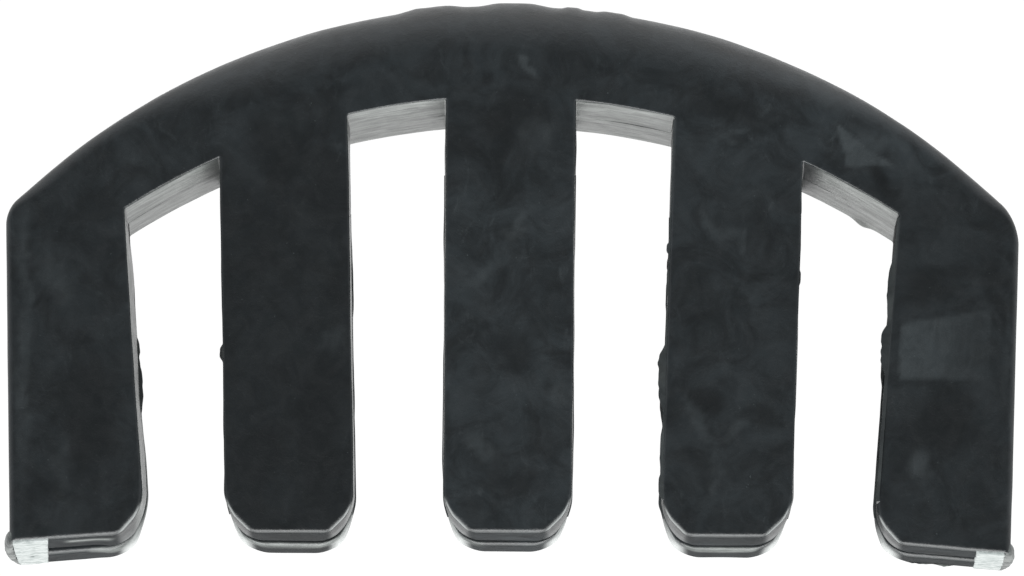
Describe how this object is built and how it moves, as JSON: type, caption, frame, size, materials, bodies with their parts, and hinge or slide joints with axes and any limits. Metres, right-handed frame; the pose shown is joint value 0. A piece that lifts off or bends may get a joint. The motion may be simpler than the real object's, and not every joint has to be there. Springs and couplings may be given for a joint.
{
  "type": "violin practice mute",
  "caption": "Arched black rubber practice mute with comb-like clefted prongs that grip a violin's bridge and damp its vibration",
  "frame": {"origin": "middle of the mute's width and thickness box, on the plane it lies on: the bottom centre of its box as it lies on its rear face", "axes": "the mute lies on its rear face: +X across the prongs, +Y from the prong ends to the top of the crown, +Z from the rear face to the front face"},
  "size_m": [0.051, 0.0276, 0.011],
  "materials": {
    "rubber": "matte"
  },
  "bodies": {
    "crown": {"crown": "rubber"},
    "front_leg_1": {"front_leg_1": "rubber"},
    "rear_leg_1": {"rear_leg_1": "rubber"},
    "front_leg_2": {"front_leg_2": "rubber"},
    "rear_leg_2": {"rear_leg_2": "rubber"},
    "front_leg_3": {"front_leg_3": "rubber"},
    "rear_leg_3": {"rear_leg_3": "rubber"},
    "front_leg_4": {"front_leg_4": "rubber"},
    "rear_leg_4": {"rear_leg_4": "rubber"},
    "front_leg_5": {"front_leg_5": "rubber"},
    "rear_leg_5": {"rear_leg_5": "rubber"}
  },
  "joints": [
    {"name": "front_flex_1", "type": "hinge", "parent": "crown", "child": "front_leg_1", "pos_m": [-0.02226, -0.00213, 0.00808], "axis": [-1, 0, 0], "range_deg": [0, 6], "stiffness_Nm_per_rad": 0.045},
    {"name": "rear_flex_1", "type": "hinge", "parent": "crown", "child": "rear_leg_1", "pos_m": [-0.02226, -0.00213, 0.00205], "axis": [1, 0, 0], "range_deg": [0, 6], "stiffness_Nm_per_rad": 0.045},
    {"name": "front_flex_2", "type": "hinge", "parent": "crown", "child": "front_leg_2", "pos_m": [-0.01141, 0.00367, 0.00823], "axis": [-1, 0, 0], "range_deg": [-3, 6], "stiffness_Nm_per_rad": 0.033},
    {"name": "rear_flex_2", "type": "hinge", "parent": "crown", "child": "rear_leg_2", "pos_m": [-0.01141, 0.00367, 0.00222], "axis": [1, 0, 0], "range_deg": [-3, 6], "stiffness_Nm_per_rad": 0.033},
    {"name": "front_flex_3", "type": "hinge", "parent": "crown", "child": "front_leg_3", "pos_m": [0, 0.00547, 0.00827], "axis": [-1, 0, 0], "range_deg": [-3, 6], "stiffness_Nm_per_rad": 0.03},
    {"name": "rear_flex_3", "type": "hinge", "parent": "crown", "child": "rear_leg_3", "pos_m": [0, 0.00547, 0.00227], "axis": [1, 0, 0], "range_deg": [-3, 6], "stiffness_Nm_per_rad": 0.03},
    {"name": "front_flex_4", "type": "hinge", "parent": "crown", "child": "front_leg_4", "pos_m": [0.01141, 0.00367, 0.00823], "axis": [-1, 0, 0], "range_deg": [-3, 6], "stiffness_Nm_per_rad": 0.033},
    {"name": "rear_flex_4", "type": "hinge", "parent": "crown", "child": "rear_leg_4", "pos_m": [0.01141, 0.00367, 0.00222], "axis": [1, 0, 0], "range_deg": [-3, 6], "stiffness_Nm_per_rad": 0.033},
    {"name": "front_flex_5", "type": "hinge", "parent": "crown", "child": "front_leg_5", "pos_m": [0.02226, -0.00213, 0.00808], "axis": [-1, 0, 0], "range_deg": [0, 6], "stiffness_Nm_per_rad": 0.045},
    {"name": "rear_flex_5", "type": "hinge", "parent": "crown", "child": "rear_leg_5", "pos_m": [0.02226, -0.00213, 0.00205], "axis": [1, 0, 0], "range_deg": [0, 6], "stiffness_Nm_per_rad": 0.045}
  ]
}
